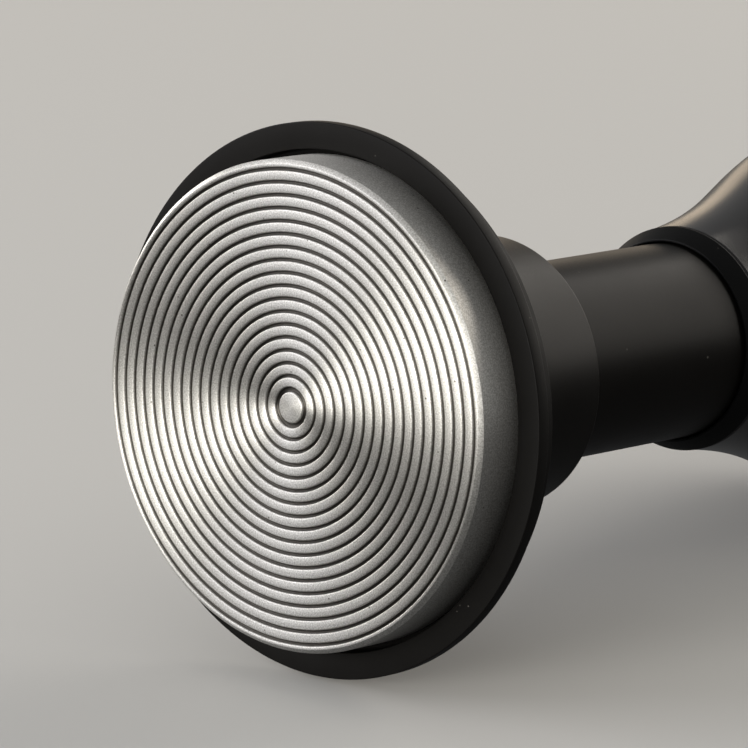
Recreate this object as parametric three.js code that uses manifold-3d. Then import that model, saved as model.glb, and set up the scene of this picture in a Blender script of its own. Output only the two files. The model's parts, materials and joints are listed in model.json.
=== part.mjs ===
// Espresso tamper with a rippled base, a spring-held levelling flange and a spring-loaded grip.
// Millimetres. The tamper's own axis is local +Z, from the tamping face towards the grip.
// The last lines lay it on the rims of its flange and grip: +Z is up, the tamping face looks to -X,
// and the origin is the middle of the whole tamper's footprint on the surface it lies on.

import * as THREE from 'three';
import { mergeVertices } from 'three/addons/utils/BufferGeometryUtils.js';
import Module from 'manifold-3d';

// Tamping base
const baseDiameter = 58.5;
const baseThickness = 8;
const baseChamfer = 0.45;
const ripplePitch = 1.517;
const rippleFirstRadius = 2.24;
const rippleWidth = 0.8;
const rippleDepth = 0.45;
const rippleEdgeLand = 1.1; // least distance from the last groove's middle to the base's edge

// Levelling flange: a lip round a shallow cup that takes the base
const faceReach = 5.65; // the tamping face stands this far in front of the lip
const lipWidth = 3.2;
const lipThickness = 1.75;
const lipChamfer = 0.3;
const cupWall = 1.3;
const plateThickness = 2.1;

// Guide collar on the back of the flange
const collarLength = 26.3;
const collarWall = 1.7;
const collarEndWall = 0.9;
const springRoom = 2.75; // between the neck and the collar's bore
const footWidth = 6.5;
const footThickness = 3;
const footFillet = 1.5;

// Neck, from the base up into the grip
const neckDiameter = 24.7;
const neckReach = 62.8; // base's rear face to the mouth of the grip
const neckInsert = 12.6;
const neckWall = 3;
const neckChamfer = 0.5;

// Grip
const gripDiameter = 49.7;
const gripLength = 48;
const gripShoulder = 9; // length of the rounding from the widest rim to the flat top
const gripTopDiameter = 35;
const gripFlareSlope = 0.12; // radius gained per length where the flare starts
const gripFlareStart = 0.54; // how long the flare keeps that slope, as a curve tension
const gripFlareEnd = 0.282; // how early it runs straight into the widest rim, as a curve tension
const gripWall = 0.85; // at the rim, where it is thinnest
const mouthBushWall = 0.7;
const mouthBushLength = 8.6;
const noseLength = 2.6; // the bush's cone in front of the grip
const noseLand = 0.3; // the cone's flat front edge

// Springs and their travel
const pressTravel = 4.5;
const mainSpringLength = 46.5;
const mainSpringWire = 2.4;
const mainSpringSideGap = 0.6; // between the main spring and the neck's bore
const mainSpringTurns = 10;
const travelReserve = 0.8; // left above the neck when the grip is pressed right down
const returnSpringWire = 1.2;
const returnSpringTurns = 5;

// Small parts
const collarBushLength = 3.2;
const ringThickness = 0.9; // spring rings for shaft and bore
const ringGrooveDepth = 0.6;
const ringStand = 2; // how far a shaft ring stands out of its shaft
const ringOpening = 0.35; // angle of the gap in a spring ring, in radians
const seatThickness = 1;
const baseWasherThickness = 0.8;
const studDiameter = 8;
const studInBase = 4.6;
const studInNeck = 12;
const plugDiameter = 21.8;
const plugLength = 6;
const plugSpigotGap = 0.9; // between the plug's spigot and the inside of the main spring
const plugSpigotLength = 5;
const plugSocket = 8; // across flats
const lockRingLength = 3;
const lockRingBore = 11;
const lockRingSlot = 2.2;
const capSeatWidth = 2.6; // the ledge under the cap's rim
const capThickness = 3;
const capSpigotLength = 6.5;
const capRingSection = 1.7;
const capRingSeat = 3.8; // middle of the rubber ring, from the underside of the cap's disc
const screwCount = 4;
const screwInset = 3; // from the collar's side to the middle of a screw
const screwShank = 3;
const screwHead = 5.6;
const screwTipWall = 0.9; // between the screw's tip and the top of the collar's foot
const screwSocket = 2; // across flats

// Clearances
const seatGap = 0.3; // between faces that seat on each other
const ringGap = 0.2; // between a ring and what it holds
const runningGap = 0.15; // round a shaft that slides in a hole
const threadGap = 0.3; // round a screwed piece
const recessGap = 0.75; // round the base in the flange

const edgeChamfer = 0.35;
const cutMargin = 1; // cutters reach this far past the face they cut

// Radii
const baseRadius = baseDiameter / 2;
const recessRadius = baseRadius + recessGap;
const lipRadius = recessRadius + lipWidth;
const cupRadius = recessRadius + cupWall;
const neckRadius = neckDiameter / 2;
const neckBore = neckRadius - neckWall;
const guideBore = neckRadius + runningGap;
const collarBore = neckRadius + springRoom;
const collarRadius = collarBore + collarWall;
const footRadius = collarRadius + footWidth;
const screwCircleRadius = collarRadius + screwInset;
const gripRadius = gripDiameter / 2;
const gripTopRadius = gripTopDiameter / 2;
const linerRadius = guideBore + mouthBushWall;
const gripBore = linerRadius + ringGap;
const gripRimRadius = gripBore + gripWall;
const studRadius = studDiameter / 2;
const studHole = studRadius + threadGap;
const plugRadius = plugDiameter / 2;
const plugBore = plugRadius + threadGap;
const capRadius = plugBore + capSeatWidth;
const capSpigotRadius = plugBore - runningGap;
const capGrooveRadius = capSpigotRadius - capRingSection - ringGap;
const mainSpringRadius = neckBore - mainSpringSideGap - mainSpringWire / 2; // middle of the wire
const plugSpigotRadius = mainSpringRadius - mainSpringWire / 2 - plugSpigotGap;
const returnSpringRadius = (neckRadius + collarBore) / 2;
const returnSeatRadius = collarBore - ringGap;

// Places along the axis, from the tamping face up
const flangeFront = faceReach;
const baseWasherStart = baseThickness + seatGap;
const neckStart = baseWasherStart + baseWasherThickness + seatGap;
const recessFloor = baseThickness + seatGap;
const plateRear = recessFloor + plateThickness;
const collarStart = plateRear + seatGap;
const collarEnd = collarStart + collarLength;
const sleeveWasherStart = plateRear + seatGap;
const returnSpringStart = sleeveWasherStart + seatThickness + ringGap;
const collarBushEnd = collarEnd - collarEndWall - ringGap;
const collarBushStart = collarBushEnd - collarBushLength;
const boreRingStart = collarBushStart - ringGap - ringThickness;
const shaftRingStart = boreRingStart - ringGap - ringThickness;
const springSeatStart = shaftRingStart - ringGap - seatThickness;
const returnSpringEnd = springSeatStart - ringGap;
const mouth = baseThickness + neckReach;
const gripRim = mouth + noseLength;
const gripTop = gripRim + gripLength;
const gripWidest = gripTop - gripShoulder;
const neckEnd = mouth + neckInsert;
const mouthBushEnd = mouth + mouthBushLength;
const neckRingStart = mouthBushEnd + ringGap;
const plugFace = neckEnd + pressTravel + travelReserve;
const plugEnd = plugFace + plugLength;
const lockRingStart = plugEnd + seatGap;
const springFloor = plugFace - mainSpringLength - ringGap - seatThickness - seatGap;
const screwFront = recessFloor + ringGap / 2;
const screwEnd = collarStart + footThickness - screwTipWall;
const capStart = gripTop - capThickness;
const capSpigotStart = capStart - capSpigotLength;
const capRingMiddle = capStart - capRingSeat;

const roundSides = 36; // facets round the large turned pieces
const smallSides = 28; // facets round the small turned pieces
const screwSides = 14;
const springSides = 6; // facets round the wire
const springSteps = 13; // lengths of wire in a turn

const wasm = await Module();
wasm.setup();

// Leaves only positions, with shared corners joined and no triangle without area
function weld(geometry) {
  const bare = geometry.index ? geometry.toNonIndexed() : geometry.clone();
  bare.deleteAttribute('normal');
  bare.deleteAttribute('uv');
  const welded = mergeVertices(bare, 1e-4);
  const corners = welded.index.array;
  const kept = [];
  for (let i = 0; i < corners.length; i += 3) {
    const [a, b, c] = corners.slice(i, i + 3);
    if (a !== b && b !== c && c !== a) kept.push(a, b, c);
  }
  welded.setIndex(kept);
  return welded;
}

// A turned solid. The outline is a list of [radius, height]: it closes on itself or on the axis.
// A flat between two corners always faces local +X, so that pieces lie on matching flats.
function turned(outline, sides) {
  const closed = outline[0][0] > 0 ? [...outline, outline[0]] : outline;
  let area = 0;
  for (let i = 0; i < outline.length; i++) {
    const [r0, z0] = outline[i];
    const [r1, z1] = outline[(i + 1) % outline.length];
    area += r0 * z1 - r1 * z0;
  }
  const ordered = area > 0 ? closed : [...closed].reverse();
  const points = ordered.map(([r, z]) => new THREE.Vector2(r, z));
  const lathe = new THREE.LatheGeometry(points, sides, Math.PI / 2 + Math.PI / sides);
  return weld(lathe.rotateX(Math.PI / 2));
}

// The outline of a plain ring, washer or tube
function ringOutline(inner, outer, start, end) {
  return [[inner, start], [outer, start], [outer, end], [inner, end]];
}

function cut(geometry, ...tools) {
  const solidOf = (shape) => {
    const welded = weld(shape);
    return new wasm.Manifold(new wasm.Mesh({
      numProp: 3,
      vertProperties: new Float32Array(welded.attributes.position.array),
      triVerts: new Uint32Array(welded.index.array),
    }));
  };
  let solid = solidOf(geometry);
  for (const tool of tools) solid = solid.subtract(solidOf(tool));
  const mesh = solid.getMesh();
  const result = new THREE.BufferGeometry();
  result.setAttribute('position', new THREE.BufferAttribute(new Float32Array(mesh.vertProperties), 3));
  result.setIndex(new THREE.BufferAttribute(new Uint32Array(mesh.triVerts), 1));
  return result;
}

// A six-sided prism along local Z, for sockets
function hexPrism(acrossFlats, start, end) {
  const cornerRadius = acrossFlats / Math.sqrt(3);
  const prism = new THREE.CylinderGeometry(cornerRadius, cornerRadius, end - start, 6);
  return prism.rotateX(Math.PI / 2).translate(0, 0, (start + end) / 2);
}

// An open spring ring, such as a circlip
function springRing(inner, outer, start, gapAngle) {
  const shape = new THREE.Shape();
  shape.absarc(0, 0, outer, gapAngle / 2, 2 * Math.PI - gapAngle / 2, false);
  shape.absarc(0, 0, inner, 2 * Math.PI - gapAngle / 2, gapAngle / 2, true);
  shape.closePath();
  const options = { depth: ringThickness, bevelEnabled: false, curveSegments: 17 };
  return weld(new THREE.ExtrudeGeometry(shape, options).translate(0, 0, start));
}

// The middle line of a compression spring whose first and last turns are closed up
class SpringLine extends THREE.Curve {
  constructor(radius, turns, start, end, wire) {
    super();
    Object.assign(this, { radius, turns, start, end, wire });
    this.arcLengthDivisions = turns * 60;
  }

  getPoint(t, target = new THREE.Vector3()) {
    const turn = t * this.turns;
    const closedPitch = this.wire * 1.12;
    const low = this.start + this.wire / 2;
    const high = this.end - this.wire / 2;
    const openPitch = (high - low - 2 * closedPitch) / (this.turns - 2);
    const opened = THREE.MathUtils.clamp(turn - 1, 0, this.turns - 2);
    const height = low + openPitch * opened + closedPitch * (turn - opened);
    const angle = 2 * Math.PI * turn;
    return target.set(this.radius * Math.cos(angle), this.radius * Math.sin(angle), height);
  }
}

function spring(radius, turns, start, end, wire) {
  const section = new THREE.Shape();
  for (let i = 0; i < springSides; i++) {
    const angle = (2 * Math.PI * i) / springSides;
    const corner = [(wire / 2) * Math.cos(angle), (wire / 2) * Math.sin(angle)];
    if (i === 0) section.moveTo(...corner);
    else section.lineTo(...corner);
  }
  section.closePath();
  return weld(new THREE.ExtrudeGeometry(section, {
    steps: turns * springSteps,
    extrudePath: new SpringLine(radius, turns, start, end, wire),
  }));
}

const tamper = new THREE.Group();

const finishes = {
  turnedSteel: { color: 0xc9c8c5, roughness: 0.28, metalness: 1 },
  plainSteel: { color: 0x9a9a98, roughness: 0.4, metalness: 1 },
  springSteel: { color: 0x6f7072, roughness: 0.35, metalness: 1 },
  matteBlack: { color: 0x232322, roughness: 0.55, metalness: 0.6 },
  satinBlack: { color: 0x2b2a28, roughness: 0.38, metalness: 0.8 },
  glossBlack: { color: 0x3a3634, roughness: 0.25, metalness: 0.85 },
  blackAcetal: { color: 0x141414, roughness: 0.5, metalness: 0 },
  bronze: { color: 0x9c7b45, roughness: 0.4, metalness: 1 },
  rubber: { color: 0x1b1b1b, roughness: 0.8, metalness: 0 },
};

function addPiece(name, geometry, finish) {
  geometry.computeVertexNormals();
  const piece = new THREE.Mesh(geometry, new THREE.MeshStandardMaterial(finishes[finish]));
  piece.name = name;
  tamper.add(piece);
}

// Tamping base: flat lands between round grooves, a plain side and a blind hole for its stud
function tampingBase() {
  const grooves = 1 + Math.floor((baseRadius - rippleEdgeLand - rippleFirstRadius) / ripplePitch);
  const face = [[0, 0]];
  for (let i = 0; i < grooves; i++) {
    const middle = rippleFirstRadius + i * ripplePitch;
    face.push([middle - rippleWidth / 2, 0], [middle, rippleDepth], [middle + rippleWidth / 2, 0]);
  }
  return turned([
    ...face,
    [baseRadius - baseChamfer, 0],
    [baseRadius, baseChamfer],
    [baseRadius, baseThickness - baseChamfer],
    [baseRadius - baseChamfer, baseThickness],
    [studHole, baseThickness],
    [studHole, baseThickness - studInBase - seatGap],
    [0, baseThickness - studInBase - seatGap],
  ], roundSides);
}

function baseStud() {
  const start = baseThickness - studInBase;
  const end = neckStart + studInNeck;
  const chamfer = 0.6;
  return turned([
    [0, start],
    [studRadius - chamfer, start],
    [studRadius, start + chamfer],
    [studRadius, end - chamfer],
    [studRadius - chamfer, end],
    [0, end],
  ], smallSides);
}

// Neck: solid where the stud screws in, hollow above for the main spring, with two ring grooves
function neckTube() {
  const groove = (start) => [
    [neckRadius, start - ringGap / 2],
    [neckRadius - ringGrooveDepth, start - ringGap / 2],
    [neckRadius - ringGrooveDepth, start + ringThickness + ringGap / 2],
    [neckRadius, start + ringThickness + ringGap / 2],
  ];
  return turned([
    [0, neckStart + studInNeck + seatGap],
    [studHole, neckStart + studInNeck + seatGap],
    [studHole, neckStart],
    [neckRadius - neckChamfer, neckStart],
    [neckRadius, neckStart + neckChamfer],
    ...groove(shaftRingStart),
    ...groove(neckRingStart),
    [neckRadius, neckEnd - neckChamfer],
    [neckRadius - neckChamfer, neckEnd],
    [neckBore, neckEnd],
    [neckBore, springFloor],
    [0, springFloor],
  ], roundSides);
}

// Copies of a shape at the places of the flange screws
function onEachScrew(geometry) {
  return Array.from({ length: screwCount }, (_, index) => {
    const angle = (2 * Math.PI * (index + 0.5)) / screwCount;
    return geometry.clone().translate(
      screwCircleRadius * Math.cos(angle),
      screwCircleRadius * Math.sin(angle),
      0,
    );
  });
}

// A countersunk screw's outline, grown by a clearance when it is used as a cutter
function screwOutline(clearance, front, end) {
  const head = screwHead / 2 + clearance;
  const shank = screwShank / 2 + clearance;
  const coneStart = screwFront + ringGap;
  const coneDepth = (screwHead - screwShank) / 2; // a 90 degree countersink
  return [
    [0, front],
    [head, front],
    [head, coneStart],
    [shank, coneStart + coneDepth],
    [shank, end],
    [0, end],
  ];
}

function flangeScrews() {
  const body = turned(screwOutline(0, screwFront, screwEnd), screwSides);
  const socketDepth = 1;
  return onEachScrew(cut(body, hexPrism(screwSocket, screwFront - cutMargin, screwFront + socketDepth)));
}

function levellingFlange() {
  const body = turned([
    [guideBore, recessFloor],
    [recessRadius, recessFloor],
    [recessRadius, flangeFront + lipChamfer],
    [recessRadius + lipChamfer, flangeFront],
    [lipRadius - lipChamfer, flangeFront],
    [lipRadius, flangeFront + lipChamfer],
    [lipRadius, flangeFront + lipThickness - lipChamfer],
    [lipRadius - lipChamfer, flangeFront + lipThickness],
    [cupRadius, flangeFront + lipThickness],
    [cupRadius, plateRear - lipChamfer],
    [cupRadius - lipChamfer, plateRear],
    [guideBore, plateRear],
  ], roundSides);
  const hole = turned(screwOutline(threadGap, recessFloor - cutMargin, plateRear + cutMargin), screwSides);
  return cut(body, ...onEachScrew(hole));
}

function guideCollar() {
  const ringGroove = [
    [collarBore, boreRingStart - ringGap / 2],
    [collarBore + ringGrooveDepth + ringGap, boreRingStart - ringGap / 2],
    [collarBore + ringGrooveDepth + ringGap, boreRingStart + ringThickness + ringGap / 2],
    [collarBore, boreRingStart + ringThickness + ringGap / 2],
  ];
  const footTop = collarStart + footThickness;
  const body = turned([
    [collarBore, collarStart],
    [footRadius, collarStart],
    [footRadius, footTop - edgeChamfer],
    [footRadius - edgeChamfer, footTop],
    [collarRadius + footFillet, footTop],
    [collarRadius, footTop + footFillet],
    [collarRadius, collarEnd - edgeChamfer],
    [collarRadius - edgeChamfer, collarEnd],
    [guideBore + ringGap, collarEnd],
    [guideBore + ringGap, collarEnd - collarEndWall],
    [collarBore, collarEnd - collarEndWall],
    ...ringGroove.reverse(),
  ], roundSides);
  const holeRadius = screwShank / 2 + threadGap;
  const hole = turned([
    [0, collarStart - cutMargin],
    [holeRadius, collarStart - cutMargin],
    [holeRadius, screwEnd + seatGap],
    [0, screwEnd + seatGap],
  ], screwSides);
  return cut(body, ...onEachScrew(hole));
}

// Conical black nose round the neck, with a thin liner inside the grip
function mouthBush() {
  return turned([
    [guideBore, mouth],
    [guideBore + noseLand, mouth],
    [gripRimRadius, gripRim - seatGap],
    [linerRadius, gripRim - seatGap],
    [linerRadius, mouthBushEnd],
    [guideBore, mouthBushEnd],
  ], roundSides);
}

// The grip is bored from its rim for the neck, then for the plug, then for the cap
function handleGrip() {
  const flareLength = gripWidest - gripRim;
  const side = new THREE.Path();
  side.moveTo(gripRimRadius, gripRim);
  side.bezierCurveTo(
    gripRimRadius + gripFlareSlope * gripFlareStart * flareLength, gripRim + gripFlareStart * flareLength,
    gripRadius, gripWidest - gripFlareEnd * flareLength,
    gripRadius, gripWidest,
  );
  const quarterArc = 0.5523;
  const shoulder = new THREE.Path();
  shoulder.moveTo(gripRadius, gripWidest);
  shoulder.bezierCurveTo(
    gripRadius, gripWidest + quarterArc * gripShoulder,
    gripTopRadius + quarterArc * (gripRadius - gripTopRadius), gripTop,
    gripTopRadius, gripTop,
  );
  const outside = [...side.getPoints(8), ...shoulder.getPoints(4).slice(1)].map((p) => [p.x, p.y]);
  const neckBoreEnd = plugFace - seatGap;
  const capSeat = capStart - seatGap;
  return turned([
    ...outside,
    [capRadius + seatGap, gripTop],
    [capRadius + seatGap, capSeat],
    [plugBore, capSeat],
    [plugBore, neckBoreEnd],
    [gripBore, neckBoreEnd],
    [gripBore, gripRim],
  ], roundSides);
}

// The main spring's upper seat, screwed down into the grip from above
function preloadPlug() {
  const body = turned([
    [0, plugFace - plugSpigotLength],
    [plugSpigotRadius, plugFace - plugSpigotLength],
    [plugSpigotRadius, plugFace],
    [plugRadius, plugFace],
    [plugRadius, plugEnd],
    [0, plugEnd],
  ], smallSides);
  const socketDepth = 4;
  return cut(body, hexPrism(plugSocket, plugEnd - socketDepth, plugEnd + cutMargin));
}

function preloadLockRing() {
  const end = lockRingStart + lockRingLength;
  const slotDepth = 1.2;
  const slot = new THREE.BoxGeometry(2 * plugRadius + cutMargin, lockRingSlot, slotDepth + cutMargin);
  slot.translate(0, 0, end - slotDepth / 2 + cutMargin / 2);
  return cut(turned(ringOutline(lockRingBore / 2, plugRadius, lockRingStart, end), smallSides), slot);
}

// The cap closes the grip's top. Its spigot carries a rubber ring that holds it in the bore.
function handleCap() {
  const grooveHalf = capRingSection / 2 + ringGap;
  return turned([
    [0, capSpigotStart],
    [capSpigotRadius, capSpigotStart],
    [capSpigotRadius, capRingMiddle - grooveHalf],
    [capGrooveRadius, capRingMiddle - grooveHalf],
    [capGrooveRadius, capRingMiddle + grooveHalf],
    [capSpigotRadius, capRingMiddle + grooveHalf],
    [capSpigotRadius, capStart],
    [capRadius, capStart],
    [capRadius, gripTop - edgeChamfer],
    [capRadius - edgeChamfer, gripTop],
    [0, gripTop],
  ], smallSides);
}

function capRing() {
  const section = capRingSection / 2;
  const torus = new THREE.TorusGeometry(capGrooveRadius + ringGap / 2 + section, section, 6, smallSides);
  return weld(torus.translate(0, 0, capRingMiddle));
}

addPiece('tamping_base', tampingBase(), 'turnedSteel');
addPiece('base_washer', turned(
  ringOutline(studHole, neckRadius - neckChamfer, baseWasherStart, baseWasherStart + baseWasherThickness),
  smallSides,
), 'plainSteel');
addPiece('base_stud', baseStud(), 'plainSteel');
addPiece('neck_tube', neckTube(), 'satinBlack');

addPiece('levelling_flange', levellingFlange(), 'matteBlack');
flangeScrews().forEach((screw, index) => addPiece(`flange_screw_${index + 1}`, screw, 'plainSteel'));
addPiece('guide_collar', guideCollar(), 'satinBlack');
addPiece('collar_bush', turned(
  ringOutline(guideBore, collarBore - ringGap, collarBushStart, collarBushEnd),
  roundSides,
), 'bronze');
addPiece('collar_bush_ring', springRing(
  neckRadius + ringStand / 2,
  collarBore + ringGrooveDepth,
  boreRingStart,
  ringOpening,
), 'springSteel');
addPiece('sleeve_washer', turned(
  ringOutline(
    guideBore + ringGap,
    returnSeatRadius,
    sleeveWasherStart,
    sleeveWasherStart + seatThickness,
  ),
  smallSides,
), 'plainSteel');
addPiece('return_spring', spring(
  returnSpringRadius,
  returnSpringTurns,
  returnSpringStart,
  returnSpringEnd,
  returnSpringWire,
), 'springSteel');
addPiece('return_spring_seat', turned(
  ringOutline(guideBore, returnSeatRadius, springSeatStart, springSeatStart + seatThickness),
  smallSides,
), 'plainSteel');
addPiece('neck_collar_ring', springRing(
  neckRadius - ringGrooveDepth + ringGap,
  neckRadius + ringStand,
  shaftRingStart,
  ringOpening,
), 'springSteel');

addPiece('main_spring_washer', turned(
  ringOutline(
    plugSpigotRadius,
    neckBore - ringGap,
    springFloor + seatGap,
    springFloor + seatGap + seatThickness,
  ),
  smallSides,
), 'bronze');
addPiece('main_spring', spring(
  mainSpringRadius,
  mainSpringTurns,
  plugFace - mainSpringLength,
  plugFace - ringGap,
  mainSpringWire,
), 'springSteel');
addPiece('neck_top_ring', springRing(
  neckRadius - ringGrooveDepth + ringGap,
  linerRadius,
  neckRingStart,
  ringOpening,
), 'springSteel');
addPiece('mouth_bush', mouthBush(), 'blackAcetal');
addPiece('handle_grip', handleGrip(), 'glossBlack');
addPiece('preload_plug', preloadPlug(), 'plainSteel');
addPiece('preload_lock_ring', preloadLockRing(), 'plainSteel');
addPiece('handle_cap', handleCap(), 'glossBlack');
addPiece('cap_ring', capRing(), 'rubber');

// Laid down: the rear edge of the lip and the widest rim of the grip touch the surface
const restLength = gripWidest - (flangeFront + lipThickness - lipChamfer);
const lyingTilt = Math.atan2(lipRadius - gripRadius, restLength);
tamper.rotation.y = Math.PI / 2 + lyingTilt;

const lyingTamper = new THREE.Group();
lyingTamper.add(tamper);
lyingTamper.updateMatrixWorld(true);
const box = new THREE.Box3().setFromObject(lyingTamper, true);
const middle = box.getCenter(new THREE.Vector3());
lyingTamper.position.set(-middle.x, -middle.y, -box.min.z);
lyingTamper.updateMatrixWorld(true);

export default lyingTamper;
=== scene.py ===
import json
import math

import bpy
from mathutils import Matrix, Vector

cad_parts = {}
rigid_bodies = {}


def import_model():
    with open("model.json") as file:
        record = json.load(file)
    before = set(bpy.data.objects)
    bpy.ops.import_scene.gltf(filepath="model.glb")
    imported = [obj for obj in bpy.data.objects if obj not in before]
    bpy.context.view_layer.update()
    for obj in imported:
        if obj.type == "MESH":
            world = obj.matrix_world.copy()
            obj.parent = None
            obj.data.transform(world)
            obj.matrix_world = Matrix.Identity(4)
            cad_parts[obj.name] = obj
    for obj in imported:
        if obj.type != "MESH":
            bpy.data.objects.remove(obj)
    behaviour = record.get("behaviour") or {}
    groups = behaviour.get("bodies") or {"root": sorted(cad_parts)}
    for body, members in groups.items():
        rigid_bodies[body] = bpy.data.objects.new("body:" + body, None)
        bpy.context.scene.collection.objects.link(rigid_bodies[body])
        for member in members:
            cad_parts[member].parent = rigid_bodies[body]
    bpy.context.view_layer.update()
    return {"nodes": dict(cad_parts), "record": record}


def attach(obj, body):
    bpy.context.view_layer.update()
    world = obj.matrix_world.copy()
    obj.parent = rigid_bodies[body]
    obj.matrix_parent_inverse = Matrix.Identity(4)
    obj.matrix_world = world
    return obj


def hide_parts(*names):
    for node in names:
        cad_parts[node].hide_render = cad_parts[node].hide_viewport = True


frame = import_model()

mm = 0.001
fullTurn = 2 * math.pi
samePoint = 0.0001 * mm      # points of an outline that are closer than this are one
seamGap = 0.001 * mm         # and so are the points on the seam of a full turn

# The tamper's own axis starts at the middle of the tamping face and runs towards the grip.
# Pieces are modelled upright on it, in millimetres from that face, and then laid down with it.
mounts = {mount["name"]: mount for mount in frame["record"]["mounts"]}
faceCentre = Vector(mounts["tamping_face"]["pos_m"])
ownZ = Vector(mounts["palm_face"]["axis"]).normalized()
ownY = Vector((0, 1, 0))
ownX = ownY.cross(ownZ).normalized()
layDown = Matrix((ownX, ownY, ownZ)).transposed().to_4x4()
layDown.translation = faceCentre
standUp = layDown.inverted()


def spanOf(node):
    # Where a CAD node lies on the tamper's own axis, in mm: its two ends and its radii. The outer
    # radius is read straight across, so that a smooth round of that size stays within the solid
    points = [standUp @ vertex.co / mm for vertex in frame["nodes"][node].data.vertices]
    heights = [point.z for point in points]
    radii = [math.hypot(point.x, point.y) for point in points]
    return {"low": min(heights), "high": max(heights), "inner": min(radii),
            "outer": max(point.x for point in points)}


def deselectAll():
    for thing in bpy.context.view_layer.objects:
        thing.select_set(False)


def makeActive(piece):
    deselectAll()
    piece.select_set(True)
    bpy.context.view_layer.objects.active = piece


def roundOff(outline, closed=True, segments=4):
    # Each corner is (radius, height) or (radius, height, rounding): a rounding becomes a short arc
    points = []
    count = len(outline)
    for index, corner in enumerate(outline):
        here = Vector(corner[:2])
        rounding = corner[2] if len(corner) > 2 else 0
        if rounding == 0 or (not closed and index in (0, count - 1)):
            points.append(here)
            continue
        before = (Vector(outline[index - 1][:2]) - here).normalized()
        after = (Vector(outline[(index + 1) % count][:2]) - here).normalized()
        half = before.angle(after) / 2
        reach = rounding / math.tan(half)
        middle = here + (before + after).normalized() * rounding / math.sin(half)
        start = here + before * reach - middle
        sweep = start.angle_signed(here + after * reach - middle)
        for step in range(segments + 1):
            turned = start.copy()
            turned.rotate(Matrix.Rotation(-sweep * step / segments, 2))
            points.append(middle + turned)
    return points


def turnPiece(name, outline, closed=True, steps=192, segments=4):
    # One vertex is drawn out along the outline, and the outline is spun round the axis
    points = roundOff(outline, closed, segments)
    if closed:
        points.append(points[0])
    deselectAll()
    bpy.ops.mesh.primitive_plane_add(size=mm, location=(0, 0, 0))
    piece = bpy.context.object
    piece.name = name
    bpy.ops.object.mode_set(mode="EDIT")
    bpy.ops.mesh.select_all(action="SELECT")
    bpy.ops.mesh.merge(type="CENTER")
    bpy.ops.transform.translate(value=(points[0].x * mm, 0, points[0].y * mm))
    for before, after in zip(points, points[1:]):
        move = (after - before) * mm
        bpy.ops.mesh.extrude_region_move(TRANSFORM_OT_translate={"value": (move.x, 0, move.y)})
    bpy.ops.mesh.select_all(action="SELECT")
    bpy.ops.mesh.remove_doubles(threshold=samePoint)
    bpy.ops.mesh.select_all(action="SELECT")
    bpy.ops.mesh.spin(steps=steps, angle=fullTurn, center=(0, 0, 0), axis=(0, 0, 1))
    bpy.ops.mesh.select_all(action="SELECT")
    bpy.ops.mesh.remove_doubles(threshold=seamGap)
    bpy.ops.mesh.select_all(action="SELECT")
    bpy.ops.mesh.normals_make_consistent(inside=False)
    bpy.ops.object.mode_set(mode="OBJECT")
    return piece


def drillAt(piece, cutter):
    makeActive(piece)
    drill = piece.modifiers.new("drill", "BOOLEAN")
    drill.operation = "DIFFERENCE"
    drill.solver = "EXACT"
    drill.object = cutter
    bpy.ops.object.modifier_apply(modifier="drill")
    bpy.data.objects.remove(cutter)


def finishPiece(piece, material, body, nodes, sharpAngle=28):
    # Softly shaded, laid down with the tamper, and tied to its body, slot and CAD nodes
    makeActive(piece)
    bpy.ops.object.shade_smooth_by_angle(angle=math.radians(sharpAngle))
    piece.matrix_world = layDown
    bpy.ops.object.transform_apply(location=True, rotation=True, scale=True)
    piece.data.materials.clear()
    piece.data.materials.append(material)
    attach(piece, body)
    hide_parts(*nodes)
    print("made", piece.name, len(piece.data.polygons), "faces")


def hexColour(code):
    # sRGB hex to the linear numbers that the shaders use
    channels = [int(code[i:i + 2], 16) / 255 for i in (1, 3, 5)]
    linear = [c / 12.92 if c <= 0.04045 else ((c + 0.055) / 1.055) ** 2.4 for c in channels]
    return (*linear, 1)


def startMaterial(name):
    material = bpy.data.materials.new(name)
    material.use_nodes = True
    material.node_tree.nodes.clear()
    return material


def addNode(material, kind, inputs=None, **settings):
    # Adds a node to a material or world, with its settings, its values and the links into it
    node = material.node_tree.nodes.new(kind)
    for key, value in settings.items():
        setattr(node, key, value)
    for key, value in (inputs or {}).items():
        if isinstance(value, bpy.types.NodeSocket):
            material.node_tree.links.new(value, node.inputs[key])
        else:
            node.inputs[key].default_value = value
    return node


def ownPlace(material):
    # Object coordinates turned back upright, so that patterns follow the tamper's own axis, in mm
    place = addNode(material, "ShaderNodeTexCoord")
    upright = addNode(material, "ShaderNodeMapping", {
        "Vector": place.outputs["Object"],
        "Location": standUp.to_translation() / mm,
        "Rotation": standUp.to_euler(),
        "Scale": (1 / mm, 1 / mm, 1 / mm),
    })
    return upright.outputs["Vector"]


def ownRadius(material, place):
    flat = addNode(material, "ShaderNodeVectorMath", {0: place, 1: (1, 1, 0)}, operation="MULTIPLY")
    length = addNode(material, "ShaderNodeVectorMath", {0: flat.outputs[0]}, operation="LENGTH")
    return length.outputs["Value"]


colourA = 6          # a Mix node's two colour inputs
colourB = 7
colourOut = 2        # and its colour output
noiseLow = 0.3       # most of a noise lies between these
noiseHigh = 0.7


ripple = {
    "pitch": 1.517,
    "firstRadius": 2.24,
    "edgeLand": 1.1,         # least distance from the last groove's middle to the edge
    "width": 0.54,           # of a groove, where its walls meet the lands
    "depth": 0.36,
    "lip": 0.09,             # rounding where a land turns down into a groove
    "root": 0.1,             # rounding at the bottom of a groove
    "floorShare": 0.45,      # a groove's flat floor, as a share of its width
    "crown": 0.006,          # how far a land falls from its middle to its edges
    "buttonRadius": 1.75,
    "buttonWall": 0.8,       # how far the button's wall reaches, in half groove widths
    "edgeChamfer": 0.5,
    "edgeRounding": 0.08,
    "rearEdge": 0.35,
    "studHole": 4.3,
    "studDepth": 4.9,
}

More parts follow.
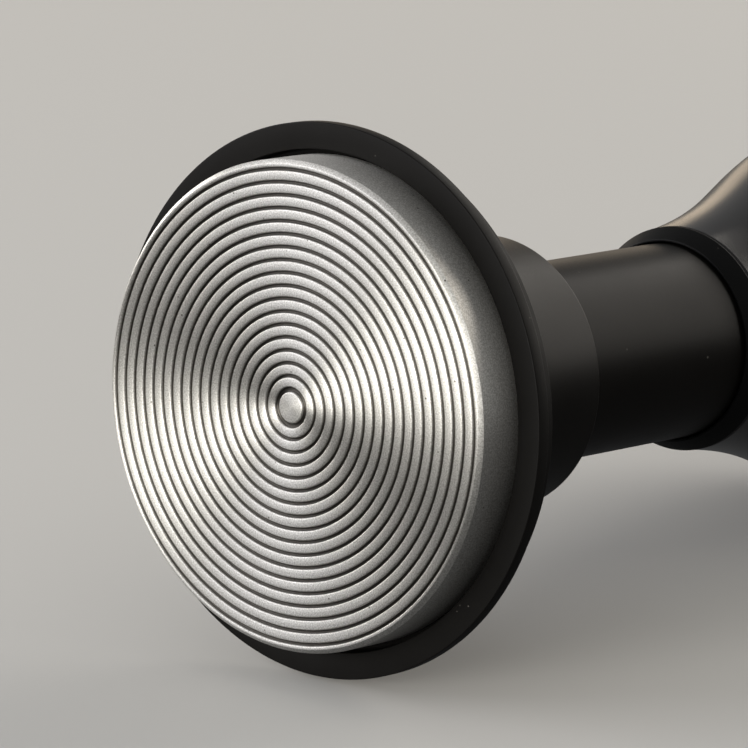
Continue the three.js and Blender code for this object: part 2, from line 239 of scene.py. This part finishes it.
stainless = {
    "dark": "#b1aea8",
    "light": "#dcdad5",
    "grainPerMm": 5.5,
    "grainLow": 0.36,
    "grainHigh": 0.64,
    "marksPerMm": 7,         # lathe marks about 0.15 mm apart, coarser than life
    "smooth": 0.36,
    "rough": 0.44,
    "relief": 0.0022,
    "reliefStrength": 0.5,
    "faceRings": 0.8,        # how strongly the rings of marks stretch the light on the face
    "buttonRings": 0.3,      # and on the button, which is faced smoother
    "pitsPerMm": 0.42,
    "pitCore": 0.03,         # in spacings of the pits
    "pitRim": 0.06,
    "pitColour": "#4a443c",
    "grooveShadeColour": "#2b2620",     # painted shade, darkest at the bottoms of the grooves
    "grooveShadeShare": 0.92,
    "grooveShadeStart": 0.05,
    "grooveShadeFull": 0.8,         # full at this share of a groove's depth
    "grooveShadeEnd": 1.1,          # and none beyond this share, on the walls and the rear
    # no painted shade within this distance of the outer edge
    "shadeFreeEdge": 0.8,
}


def makeTurnedStainless(name, rings):
    # Fine-turned stainless: rings of lathe marks that spread light across them into two fans,
    # a warm pale grey with a silky grain, a few tiny pits and painted shade in the grooves
    material = startMaterial(name)
    place = ownPlace(material)
    radius = ownRadius(material, place)
    marks = addNode(material, "ShaderNodeTexNoise", {
        "W": radius, "Scale": stainless["marksPerMm"], "Detail": 5,
    }, noise_dimensions="1D")
    grain = addNode(material, "ShaderNodeTexNoise", {
        "Vector": place, "Scale": stainless["grainPerMm"], "Detail": 6})
    speckle = addNode(material, "ShaderNodeMapRange", {
        "Value": grain.outputs[0],
        "From Min": stainless["grainLow"], "From Max": stainless["grainHigh"],
    })
    polish = addNode(material, "ShaderNodeMix", {
        0: speckle.outputs[0],
        colourA: hexColour(stainless["dark"]), colourB: hexColour(stainless["light"]),
    }, data_type="RGBA")
    pits = addNode(material, "ShaderNodeTexVoronoi", {
        "Vector": place, "Scale": stainless["pitsPerMm"]})
    pitMask = addNode(material, "ShaderNodeMapRange", {
        "Value": pits.outputs["Distance"],
        "From Min": stainless["pitCore"], "From Max": stainless["pitRim"], "To Min": 1, "To Max": 0,
    })
    pitted = addNode(material, "ShaderNodeMix", {
        0: pitMask.outputs[0],
        colourA: polish.outputs[colourOut], colourB: hexColour(stainless["pitColour"]),
    }, data_type="RGBA")
    depth = addNode(material, "ShaderNodeSeparateXYZ", {0: place})
    # Painted shade: the grooves are darkened towards their bottoms by depth into the face, except
    # near the outer edge
    paintedGrooveShade = addNode(material, "ShaderNodeMapRange", {
        "Value": depth.outputs["Z"],
        "From Min": stainless["grooveShadeStart"], "From Max": ripple["depth"] * stainless["grooveShadeFull"],
        "To Min": 0, "To Max": stainless["grooveShadeShare"],
    }, interpolation_type="SMOOTHSTEP")
    nearFace = addNode(material, "ShaderNodeMath", {
        0: depth.outputs["Z"], 1: ripple["depth"] * stainless["grooveShadeEnd"],
    }, operation="LESS_THAN")
    withinEdge = addNode(material, "ShaderNodeMath", {
        0: radius, 1: spanOf("tamping_base")["outer"] - stainless["shadeFreeEdge"],
    }, operation="LESS_THAN")
    inGroove = addNode(material, "ShaderNodeMath", {
        0: nearFace.outputs[0], 1: withinEdge.outputs[0]}, operation="MULTIPLY")
    paintedShadeMask = addNode(material, "ShaderNodeMath", {
        0: paintedGrooveShade.outputs[0], 1: inGroove.outputs[0]}, operation="MULTIPLY")
    tone = addNode(material, "ShaderNodeMix", {
        0: paintedShadeMask.outputs[0],
        colourA: pitted.outputs[colourOut], colourB: hexColour(stainless["grooveShadeColour"]),
    }, data_type="RGBA")
    roughness = addNode(material, "ShaderNodeMapRange", {
        "Value": marks.outputs[0], "From Min": noiseLow, "From Max": noiseHigh,
        "To Min": stainless["smooth"], "To Max": stainless["rough"],
    })
    relief = addNode(material, "ShaderNodeMath", {
        0: marks.outputs[0], 1: grain.outputs[0]}, operation="ADD")
    bump = addNode(material, "ShaderNodeBump", {
        "Height": relief.outputs[0],
        "Strength": stainless["reliefStrength"], "Distance": stainless["relief"] * mm,
    })
    tangent = addNode(material, "ShaderNodeTangent", direction_type="UV_MAP", uv_map="turned")
    surface = addNode(material, "ShaderNodeBsdfPrincipled", {
        "Base Color": tone.outputs[colourOut],
        "Metallic": 1,
        "Roughness": roughness.outputs[0],
        "Anisotropic": rings,
        "Normal": bump.outputs[0],
        "Tangent": tangent.outputs[0],
    })
    addNode(material, "ShaderNodeOutputMaterial", {"Surface": surface.outputs[0]})
    return material


def unwrapTurned(piece):
    # U runs out from the axis and on up the side, V once round it, while the piece stands upright
    unitLength = 50      # mm of surface in one unit of U
    onAxis = 0.01 * mm
    mesh = piece.data
    layer = mesh.uv_layers.active or mesh.uv_layers.new()
    layer.name = "turned"
    for face in mesh.polygons:
        middle = math.atan2(face.center.y, face.center.x)
        for loop in face.loop_indices:
            corner = mesh.vertices[mesh.loops[loop].vertex_index].co
            radius = math.hypot(corner.x, corner.y)
            angle = math.atan2(corner.y, corner.x) if radius > onAxis else middle
            while angle - middle > math.pi:
                angle -= fullTurn
            while middle - angle > math.pi:
                angle += fullTurn
            layer.data[loop].uv = ((radius + corner.z) / mm / unitLength, angle / fullTurn)


def makeBase():
    span = spanOf("tamping_base")
    radius = span["outer"]
    faceRadius = radius - ripple["edgeChamfer"]
    room = radius - ripple["edgeLand"] - ripple["firstRadius"]
    grooves = 1 + math.floor(room / ripple["pitch"])
    half = ripple["width"] / 2
    floorHalf = half * ripple["floorShare"]
    outline = [(0, 0), (ripple["buttonRadius"], 0, ripple["lip"])]
    for index in range(grooves):
        middle = ripple["firstRadius"] + index * ripple["pitch"]
        end = middle + floorHalf
        if index == 0:
            start = ripple["buttonRadius"] + half * ripple["buttonWall"]
        else:
            start = middle - floorHalf
            outline.append((middle - half, ripple["crown"], ripple["lip"]))
        outline.append((start, ripple["depth"], ripple["root"]))
        outline.append((end, ripple["depth"], ripple["root"]))
        outline.append((middle + half, ripple["crown"], ripple["lip"]))
        landEnd = middle + ripple["pitch"] - half if index < grooves - 1 else faceRadius
        outline.append(((middle + half + landEnd) / 2, 0))
    studFloor = span["high"] - ripple["studDepth"]
    outline += [
        (faceRadius, 0, ripple["edgeRounding"]),
        (radius, ripple["edgeChamfer"], ripple["edgeRounding"]),
        (radius, span["high"], ripple["rearEdge"]),
        (ripple["studHole"], span["high"]),
        (ripple["studHole"], studFloor),
        (0, studFloor),
    ]
    piece = turnPiece("rippled_base", outline, closed=False, steps=256, segments=3)
    unwrapTurned(piece)
    turned = makeTurnedStainless("turnedStainless", stainless["faceRings"])
    finishPiece(piece, turned, "neck", ["tamping_base"], sharpAngle=40)
    piece.data.materials.append(makeTurnedStainless("facedStainless", stainless["buttonRings"]))
    for face in piece.data.polygons:
        middle = standUp @ face.center / mm
        if math.hypot(middle.x, middle.y) < ripple["buttonRadius"] and middle.z < ripple["depth"]:
            face.material_index = 1


flange = {
    "lipWidth": 3.2,
    "lipThickness": 1.75,
    "cupWall": 1.3,
    "plateThickness": 2.1,
    "edge": 0.15,
    "edgeGap": 0.02,         # keeps the edges, sharper than the solid's, within its outline
    "boreEdge": 0.2,
    "innerFillet": 0.3,
    "screwCircle": 19.8,
    "screwCount": 4,
    "screwHole": 1.8,
    "headHole": 3.1,
    "headRim": 0.3,          # depth of the head's hole before its cone starts
    "headDepth": 1.6,
}


def makeFlange(material):
    span = spanOf("levelling_flange")
    radius = span["outer"] - flange["edgeGap"]
    recess = radius - flange["lipWidth"]
    cup = recess + flange["cupWall"]
    lipRear = span["low"] + flange["lipThickness"]
    floor = span["high"] - flange["plateThickness"]
    edge = flange["edge"]
    piece = turnPiece("flange_cup", [
        (span["inner"], floor, flange["boreEdge"]),
        (recess, floor, flange["innerFillet"]),
        (recess, span["low"], edge),
        (radius, span["low"], edge),
        (radius, lipRear, edge),
        (cup, lipRear, flange["innerFillet"]),
        (cup, span["high"], edge),
        (span["inner"], span["high"], flange["boreEdge"]),
    ])
    cutterEnd = 1            # how far the cutters stand out on both sides
    for number in range(flange["screwCount"]):
        angle = fullTurn * (number + 0.5) / flange["screwCount"]
        cutter = turnPiece("screw_cutter", [
            (0, floor - cutterEnd),
            (flange["headHole"], floor - cutterEnd),
            (flange["headHole"], floor + flange["headRim"]),
            (flange["screwHole"], floor + flange["headDepth"]),
            (flange["screwHole"], span["high"] + cutterEnd),
            (0, span["high"] + cutterEnd),
        ], closed=False, steps=48)
        cutter.location = Vector((math.cos(angle), math.sin(angle), 0)) * flange["screwCircle"] * mm
        drillAt(piece, cutter)
    finishPiece(piece, material, "sleeve", ["levelling_flange"])


collar = {
    "wall": 1.7,
    "footWidth": 6.5,
    "footThickness": 3,
    "footFillet": 1.5,
    "footEdge": 0.2,
    "edge": 0.35,
    "boreEdge": 0.2,
    "endWall": 0.9,
}


def makeCollar(material):
    span = spanOf("guide_collar")
    radius = span["outer"] - collar["footWidth"]
    bore = radius - collar["wall"]
    footTop = span["low"] + collar["footThickness"]
    innerEnd = span["high"] - collar["endWall"]
    piece = turnPiece("spring_collar", [
        (bore, span["low"]),
        (span["outer"], span["low"], collar["footEdge"]),
        (span["outer"], footTop, collar["edge"]),
        (radius, footTop, collar["footFillet"]),
        (radius, span["high"], collar["edge"]),
        (span["inner"], span["high"], collar["boreEdge"]),
        (span["inner"], innerEnd),
        (bore, innerEnd),
    ])
    finishPiece(piece, material, "sleeve", ["guide_collar"])


neck = {
    "wall": 3,
    "edge": 0.5,
    "boreEdge": 0.2,
    "washerGap": 0.3,        # the bore ends this far below the spring's washer
    "studHole": 4.3,
    "studHoleDepth": 12.3,
    "grooveDepth": 0.6,
    "ringGap": 0.1,
}


def makeNeck(material):
    span = spanOf("neck_tube")
    radius = span["outer"]
    boreFloor = spanOf("main_spring_washer")["low"] - neck["washerGap"]
    grooves = []
    for ring in ("neck_collar_ring", "neck_top_ring"):
        low = spanOf(ring)["low"] - neck["ringGap"]
        high = spanOf(ring)["high"] + neck["ringGap"]
        inner = radius - neck["grooveDepth"]
        grooves += [(radius, low), (inner, low), (inner, high), (radius, high)]
    piece = turnPiece("neck_shaft", [
        (0, span["low"] + neck["studHoleDepth"]),
        (neck["studHole"], span["low"] + neck["studHoleDepth"]),
        (neck["studHole"], span["low"]),
        (radius, span["low"], neck["edge"]),
        *grooves,
        (radius, span["high"], neck["edge"]),
        (radius - neck["wall"], span["high"], neck["boreEdge"]),
        (radius - neck["wall"], boreFloor),
        (0, boreFloor),
    ], closed=False)
    finishPiece(piece, material, "neck", ["neck_tube"])


grip = {
    "lieGap": 0.05,          # it lies on the curve just past its widest radius
    "rimStep": 0.25,         # a small step where the flare meets the mouth bush
    "rimInset": 0.2,
    "flareSlope": 0.12,
    "flareStart": 0.54,      # how far the lean at the rim and the level at the widest reach,
    "flareEnd": 0.282,       # as shares of the flare's length
    "flareSteps": 48,
    "shoulder": 9,
    "shoulderSteps": 20,
    "topInset": 7.55,        # from the widest radius in to the edge of the flat top
    "topEdge": 0.2,
    "bore": 13.4,
    "boreEnd": 88.4,
    "plugBore": 11.2,
    "capGap": 0.3,
    "capSeat": 3.3,
}


def bezier(corners, steps):
    # Points along the curve that leaves the first corner for the second and reaches the last
    # one from the third
    a, b, c, d = (Vector(corner) for corner in corners)
    for step in range(steps + 1):
        t = step / steps
        u = 1 - t
        yield tuple(u ** 3 * a + 3 * u ** 2 * t * b + 3 * u * t * t * c + t ** 3 * d)


def makeGrip(material):
    span = spanOf("handle_grip")
    rimRadius = spanOf("mouth_bush")["outer"]
    capBore = spanOf("handle_cap")["outer"] + grip["capGap"]
    widest = span["high"] - grip["shoulder"]
    flare = widest - span["low"]
    lean = grip["flareStart"] * flare
    radius = span["outer"] - grip["lieGap"]
    topRadius = radius - grip["topInset"]
    side = bezier([
        (rimRadius, span["low"] + grip["rimStep"]),
        (rimRadius + grip["flareSlope"] * lean, span["low"] + lean),
        (radius, widest - grip["flareEnd"] * flare),
        (radius, widest),
    ], grip["flareSteps"])
    quarterArc = 0.5523      # handle length that makes the curve a quarter of a circle
    shoulder = list(bezier([
        (radius, widest),
        (radius, widest + quarterArc * grip["shoulder"]),
        (topRadius + quarterArc * grip["topInset"], span["high"]),
        (topRadius, span["high"]),
    ], grip["shoulderSteps"]))[1:]
    piece = turnPiece("flared_grip", [
        (rimRadius - grip["rimInset"], span["low"]),
        *side,
        *shoulder,
        (capBore, span["high"], grip["topEdge"]),
        (capBore, span["high"] - grip["capSeat"]),
        (grip["plugBore"], span["high"] - grip["capSeat"]),
        (grip["plugBore"], grip["boreEnd"]),
        (grip["bore"], grip["boreEnd"]),
        (grip["bore"], span["low"]),
    ])
    finishPiece(piece, material, "handle", ["handle_grip"])


mouthBush = {
    "gripGap": 0.3,          # between the end of its cone and the grip
    "linerGap": 0.2,         # round the part that sits in the grip
    "noseFlat": 0.3,
    "innerEdge": 0.1,
    "edge": 0.12,
    "coneLand": 0.15,
}


def makeMouthBush(material):
    span = spanOf("mouth_bush")
    coneEnd = spanOf("handle_grip")["low"] - mouthBush["gripGap"]
    liner = grip["bore"] - mouthBush["linerGap"]
    piece = turnPiece("black_nose", [
        (span["inner"], span["low"], mouthBush["innerEdge"]),
        (span["inner"] + mouthBush["noseFlat"], span["low"], mouthBush["edge"]),
        (span["outer"], coneEnd - mouthBush["coneLand"], mouthBush["edge"]),
        (span["outer"], coneEnd),
        (liner, coneEnd),
        (liner, span["high"]),
        (span["inner"], span["high"]),
    ])
    finishPiece(piece, material, "handle", ["mouth_bush"])


cap = {
    "edge": 0.35,
    "lowerEdge": 0.2,
    "thickness": 3,
    "spigotRadius": 11.05,
    "spigotEdge": 0.4,
    "grooveDepth": 1.9,
    "grooveHalf": 1.05,
}


def makeCap(material):
    span = spanOf("handle_cap")
    ring = spanOf("cap_ring")
    ringMiddle = (ring["low"] + ring["high"]) / 2
    spigot = cap["spigotRadius"]
    piece = turnPiece("grip_cap", [
        (0, span["low"]),
        (spigot, span["low"], cap["spigotEdge"]),
        (spigot, ringMiddle - cap["grooveHalf"]),
        (spigot - cap["grooveDepth"], ringMiddle - cap["grooveHalf"]),
        (spigot - cap["grooveDepth"], ringMiddle + cap["grooveHalf"]),
        (spigot, ringMiddle + cap["grooveHalf"]),
        (spigot, span["high"] - cap["thickness"]),
        (span["outer"], span["high"] - cap["thickness"], cap["lowerEdge"]),
        (span["outer"], span["high"], cap["edge"]),
        (0, span["high"]),
    ], closed=False)
    finishPiece(piece, material, "handle", ["handle_cap"])


blackCoat = {
    "mixLow": 0.7,           # grain and clouds together mostly lie between these
    "mixHigh": 1.3,
    "reliefStrength": 0.4,
    "dustColour": "#8f8b84",
    "dustShare": 0.3,
    "dustCore": 0.02,        # in spacings of the specks
    "dustRim": 0.04,
}


def makeBlack(name, finish):
    # A thin black layer over metal, or black plastic: it shines only softly, and most at a glance
    material = startMaterial(name)
    place = ownPlace(material)
    grain = addNode(material, "ShaderNodeTexNoise", {
        "Vector": place, "Scale": 1 / finish["grainMm"], "Detail": 5})
    clouds = addNode(material, "ShaderNodeTexNoise", {
        "Vector": place, "Scale": 1 / finish["cloudMm"], "Detail": 3})
    specks = addNode(material, "ShaderNodeTexVoronoi", {
        "Vector": place, "Scale": 1 / finish["dustMm"]})
    speckMask = addNode(material, "ShaderNodeMapRange", {
        "Value": specks.outputs["Distance"],
        "From Min": blackCoat["dustCore"], "From Max": blackCoat["dustRim"],
        "To Min": blackCoat["dustShare"], "To Max": 0,
    })
    tone = addNode(material, "ShaderNodeMix", {
        0: clouds.outputs[0],
        colourA: hexColour(finish["dark"]), colourB: hexColour(finish["light"]),
    }, data_type="RGBA")
    dusted = addNode(material, "ShaderNodeMix", {
        0: speckMask.outputs[0],
        colourA: tone.outputs[colourOut], colourB: hexColour(blackCoat["dustColour"]),
    }, data_type="RGBA")
    mixed = addNode(material, "ShaderNodeMath", {
        0: grain.outputs[0], 1: clouds.outputs[0]}, operation="ADD")
    roughness = addNode(material, "ShaderNodeMapRange", {
        "Value": mixed.outputs[0],
        "From Min": blackCoat["mixLow"], "From Max": blackCoat["mixHigh"],
        "To Min": finish["smooth"], "To Max": finish["rough"],
    })
    bump = addNode(material, "ShaderNodeBump", {
        "Height": grain.outputs[0],
        "Strength": blackCoat["reliefStrength"], "Distance": finish["reliefMm"] * mm,
    })
    surface = addNode(material, "ShaderNodeBsdfPrincipled", {
        "Base Color": dusted.outputs[colourOut],
        "Specular IOR Level": finish["shine"],
        "IOR": finish["ior"],
        "Roughness": roughness.outputs[0],
        "Normal": bump.outputs[0],
    })
    addNode(material, "ShaderNodeOutputMaterial", {"Surface": surface.outputs[0]})
    return material


blackFinishes = {
    # Fine-blasted hard anodised aluminium: deepest and most matt, with a fine tooth
    "mattBlackAnodised": {
        "dark": "#0b0a09", "light": "#100f0e",
        "smooth": 0.42, "rough": 0.56, "shine": 0.07, "ior": 1.5,
        "grainMm": 0.2, "cloudMm": 9, "dustMm": 2.6, "reliefMm": 0.012,
    },
    # Satin anodised and turned aluminium: a long soft shine along the tube
    "satinBlackAnodised": {
        "dark": "#0a0908", "light": "#110f0d",
        "smooth": 0.34, "rough": 0.42, "shine": 0.07, "ior": 1.5,
        "grainMm": 0.25, "cloudMm": 12, "dustMm": 5, "reliefMm": 0.004,
    },
    # Polished and lacquered black: clear reflections that follow the flare
    "polishedBlackLacquer": {
        "dark": "#0c0a09", "light": "#14110f",
        "smooth": 0.17, "rough": 0.24, "shine": 0.5, "ior": 1.5,
        "grainMm": 0.3, "cloudMm": 15, "dustMm": 6, "reliefMm": 0.002,
    },
    # Turned black acetal: flat, slightly waxy black
    "turnedBlackAcetal": {
        "dark": "#060606", "light": "#0b0b0b",
        "smooth": 0.45, "rough": 0.58, "shine": 0.12, "ior": 1.48,
        "grainMm": 0.2, "cloudMm": 8, "dustMm": 5, "reliefMm": 0.006,
    },
    # Moulded nitrile rubber: dull and slightly grey
    "nitrileRubber": {
        "dark": "#101010", "light": "#181818",
        "smooth": 0.7, "rough": 0.85, "shine": 0.4, "ior": 1.5,
        "grainMm": 0.3, "cloudMm": 5, "dustMm": 3, "reliefMm": 0.01,
    },
}


bareReliefStrength = 0.3


def makeBareMetal(name, finish):
    # Bare machined or drawn metal, with a fine uneven grain that breaks up its shine
    material = startMaterial(name)
    place = ownPlace(material)
    grain = addNode(material, "ShaderNodeTexNoise", {
        "Vector": place, "Scale": 1 / finish["grainMm"], "Detail": 5})
    tone = addNode(material, "ShaderNodeMix", {
        0: grain.outputs[0],
        colourA: hexColour(finish["dark"]), colourB: hexColour(finish["light"]),
    }, data_type="RGBA")
    roughness = addNode(material, "ShaderNodeMapRange", {
        "Value": grain.outputs[0], "To Min": finish["smooth"], "To Max": finish["rough"]})
    bump = addNode(material, "ShaderNodeBump", {
        "Height": grain.outputs[0],
        "Strength": bareReliefStrength, "Distance": finish["reliefMm"] * mm,
    })
    surface = addNode(material, "ShaderNodeBsdfPrincipled", {
        "Base Color": tone.outputs[colourOut],
        "Metallic": 1,
        "Roughness": roughness.outputs[0],
        "Normal": bump.outputs[0],
    })
    addNode(material, "ShaderNodeOutputMaterial", {"Surface": surface.outputs[0]})
    return material


bareMetals = {
    # Turned mild steel, slightly dull
    "plainTurnedSteel": {
        "dark": "#8d8c8a", "light": "#b4b3b0", "smooth": 0.28, "rough": 0.45,
        "grainMm": 0.4, "reliefMm": 0.008,
    },
    # Drawn and hardened spring wire, darker and blued by its heat treatment
    "springWire": {
        "dark": "#5c5d60", "light": "#828387", "smooth": 0.22, "rough": 0.38,
        "grainMm": 0.3, "reliefMm": 0.006,
    },
    # Oil-filled sintered bronze: open-pored and brownish
    "sinteredBronze": {
        "dark": "#7d5f31", "light": "#b08a52", "smooth": 0.38, "rough": 0.6,
        "grainMm": 0.25, "reliefMm": 0.02,
    },
}


finishes = {name: makeBlack(name, finish) for name, finish in blackFinishes.items()}
finishes.update({name: makeBareMetal(name, finish) for name, finish in bareMetals.items()})
print("finishes ready")

makeBase()
makeFlange(finishes["mattBlackAnodised"])
makeCollar(finishes["satinBlackAnodised"])
makeNeck(finishes["satinBlackAnodised"])
makeGrip(finishes["polishedBlackLacquer"])
makeMouthBush(finishes["turnedBlackAcetal"])
makeCap(finishes["polishedBlackLacquer"])

innerParts = {
    "plainTurnedSteel": [
        "base_washer", "base_stud", "sleeve_washer", "return_spring_seat",
        "preload_plug", "preload_lock_ring",
        "flange_screw_1", "flange_screw_2", "flange_screw_3", "flange_screw_4",
    ],
    "springWire": [
        "return_spring", "main_spring", "collar_bush_ring", "neck_collar_ring", "neck_top_ring",
    ],
    "sinteredBronze": ["collar_bush", "main_spring_washer"],
    "nitrileRubber": ["cap_ring"],
}
for finishName, nodeNames in innerParts.items():
    for nodeName in nodeNames:
        for materialSlot in frame["nodes"][nodeName].material_slots:
            materialSlot.material = finishes[finishName]
print("inner parts finished")


studio = {
    "floorSize": 40,
    "floorDrop": 0.0003,         # just under the rims that the tamper lies on
    "floorColour": "#b8b7b4",
    "floorRoughness": 0.75,
    "skyColour": "#c8c9ca",
    "skyStrength": 0.5,
    "skyStart": 0.02,            # heights on the horizon between which the ground fades into it
    "groundEnd": -0.12,
    "groundStrength": 0.15,      # seen only in reflections, where the floor isn't
}
lamps = {
    # name: place, what it faces, width, height, spread, watts, colour
    "faceSoftbox": ((-1.6, -0.06, 0.31), (-0.06, 0, 0.03), 1.15, 0.62, 80, 6.2, "#fffdf8"),
    "upperSoftbox": ((-0.75, 0.7, 0.5), (-0.06, 0, 0.03), 0.9, 0.7, 180, 7.5, "#fbfbff"),
    "backSoftbox": ((1.03, -0.2, 0.44), (0, 0, 0.03), 1.3, 0.84, 180, 11, "#fff8ee"),
    "sideSoftbox": ((-0.12, 1.0, 0.19), (-0.05, 0, 0.03), 0.7, 0.36, 180, 4.2, "#f6f3ee"),
    "warmSoftbox": ((0.9, 0.8, 0.17), (0, 0, 0.03), 0.9, 0.28, 180, 1.15, "#dcc6a8"),
}
deselectAll()
bpy.ops.mesh.primitive_plane_add(size=studio["floorSize"], location=(0, 0, -studio["floorDrop"]))
floor = bpy.context.object
floor.name = "studio_floor"
floor.visible_glossy = False
floorPaint = startMaterial("paleFloor")
floorSurface = addNode(floorPaint, "ShaderNodeBsdfPrincipled", {
    "Base Color": hexColour(studio["floorColour"]), "Roughness": studio["floorRoughness"]})
addNode(floorPaint, "ShaderNodeOutputMaterial", {"Surface": floorSurface.outputs[0]})
floor.data.materials.append(floorPaint)

for lampName, (place, faces, width, height, spread, power, colour) in lamps.items():
    lamp = bpy.data.lights.new(lampName, "AREA")
    lamp.shape = "RECTANGLE"
    lamp.size = width
    lamp.size_y = height
    lamp.spread = math.radians(spread)
    lamp.energy = power
    lamp.color = hexColour(colour)[:3]
    holder = bpy.data.objects.new(lampName, lamp)
    bpy.context.scene.collection.objects.link(holder)
    holder.location = place
    holder.rotation_euler = (Vector(faces) - Vector(place)).to_track_quat("-Z", "Y").to_euler()
    holder.visible_camera = False

world = bpy.data.worlds.new("studio")
bpy.context.scene.world = world
world.use_nodes = True
direction = addNode(world, "ShaderNodeTexCoord")
height = addNode(world, "ShaderNodeSeparateXYZ", {0: direction.outputs["Generated"]})
fade = addNode(world, "ShaderNodeMapRange", {    # dark ground below, even sky above
    "Value": height.outputs["Z"],
    "From Min": studio["groundEnd"], "From Max": studio["skyStart"],
    "To Min": studio["groundStrength"], "To Max": studio["skyStrength"],
})
background = world.node_tree.nodes["Background"]
background.inputs["Color"].default_value = hexColour(studio["skyColour"])
world.node_tree.links.new(fade.outputs[0], background.inputs["Strength"])
bpy.context.scene.view_settings.view_transform = "Standard"

# The camera looks at a point beside the base, level with its middle
view = {
    "aim": (0.0072, -0.0067, 0.0038),   # from the middle of the tamping face
    "azimuth": -48.8,
    "elevation": 14.78,
    "distance": 0.6996,
    "lens": 288,
    "sensor": 36,
}
azimuth = math.radians(view["azimuth"])
elevation = math.radians(view["elevation"])
towardCamera = Vector((
    math.sin(azimuth) * math.cos(elevation),
    -math.cos(azimuth) * math.cos(elevation),
    math.sin(elevation),
))
cameraData = bpy.data.cameras.new("camera")
cameraData.lens = view["lens"]
cameraData.sensor_width = view["sensor"]
camera = bpy.data.objects.new("camera", cameraData)
bpy.context.scene.collection.objects.link(camera)
camera.location = faceCentre + Vector(view["aim"]) + towardCamera * view["distance"]
camera.rotation_euler = (-towardCamera).to_track_quat("-Z", "Y").to_euler()
bpy.context.scene.camera = camera
print("stage ready")
